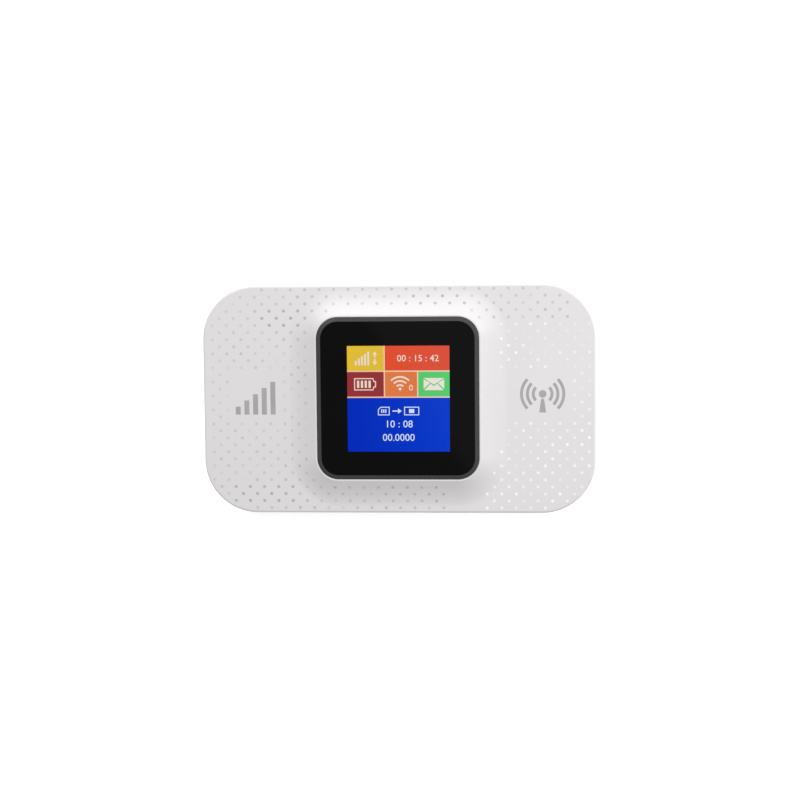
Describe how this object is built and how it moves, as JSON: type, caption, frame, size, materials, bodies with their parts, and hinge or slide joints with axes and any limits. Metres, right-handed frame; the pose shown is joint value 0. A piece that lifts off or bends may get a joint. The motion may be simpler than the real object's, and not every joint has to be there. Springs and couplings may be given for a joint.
{
  "type": "mobile hotspot",
  "caption": "Pocket mobile hotspot: slim white case with rounded corners, a raised square black display window, a snap-off back and a flat battery.",
  "frame": {"origin": "on the flat back, which the object lies on, under the middle of the body", "axes": "+Z out of the display; +X along the length, to the right of the picture on the display; +Y across the width, to the top of that picture"},
  "size_m": [0.098, 0.0572, 0.015],
  "materials": {
    "shell": "glossy white",
    "chassis": "satin white",
    "window": "polished black",
    "tape": "matte",
    "foam": "matte foam",
    "panel": "glossy, lit",
    "backlight": "satin",
    "flex": "satin polyimide",
    "board": "solder mask",
    "tin": "tinned sheet",
    "steel": "brushed",
    "gold": "gold plated",
    "chip": "moulded epoxy",
    "connector": "moulded",
    "key": "satin white",
    "pad": "matte silicone",
    "battery": "dark satin sleeve",
    "label": "matte film"
  },
  "bodies": {
    "case": {"front_cover": "shell", "chassis": "chassis", "display_window": "window", "window_tape": "tape", "light_gasket": "foam", "display_panel": "panel", "backlight_tray": "backlight", "display_flex": "flex", "main_antenna": "flex", "diversity_antenna": "flex", "wireless_antenna": "flex", "main_board": "board", "baseband_shield": "tin", "radio_shield": "tin", "wireless_shield": "tin", "sim_reader": "steel", "memory_card_reader": "steel", "port_shell": "steel", "power_switch": "steel", "reset_switch": "steel", "screw_1": "steel", "screw_2": "steel", "screw_3": "steel", "screw_4": "steel", "contact_spring_1": "gold", "contact_spring_2": "gold", "contact_spring_3": "gold", "contact_spring_4": "gold", "main_antenna_clip": "gold", "diversity_antenna_clip": "gold", "wireless_antenna_clip": "gold", "baseband_chip": "chip", "memory_chip": "chip", "radio_chip": "chip", "power_amplifier": "chip", "wireless_chip": "chip", "power_manager": "chip", "display_socket": "connector", "port_tongue": "connector", "battery_connector": "connector", "heat_pad": "pad", "bay_label": "label"},
    "power_key": {"power_key": "key", "power_switch_plunger": "connector"},
    "reset_plunger": {"reset_switch_plunger": "connector"},
    "battery": {"battery_pack": "battery", "battery_terminals": "gold", "battery_label": "label"},
    "back_cover": {"back_cover": "shell"}
  },
  "joints": [
    {"name": "power_key_press", "type": "slide", "parent": "case", "child": "power_key", "axis": [-1, 0, 0], "range_m": [0, 0.00035], "stiffness_N_per_m": 2000},
    {"name": "reset_press", "type": "slide", "parent": "case", "child": "reset_plunger", "axis": [0, 1, 0], "range_m": [0, 0.0003], "stiffness_N_per_m": 2000},
    {"name": "back_cover_lift", "type": "slide", "parent": "case", "child": "back_cover", "axis": [0, 0, -1], "range_m": [0, 0.03]},
    {"name": "battery_lift", "type": "slide", "parent": "case", "child": "battery", "axis": [0, 0, -1], "range_m": [0, 0.015]}
  ],
  "couplings": [
    {"joint": "battery_lift", "follows": "back_cover_lift", "ratio": 0.5}
  ]
}
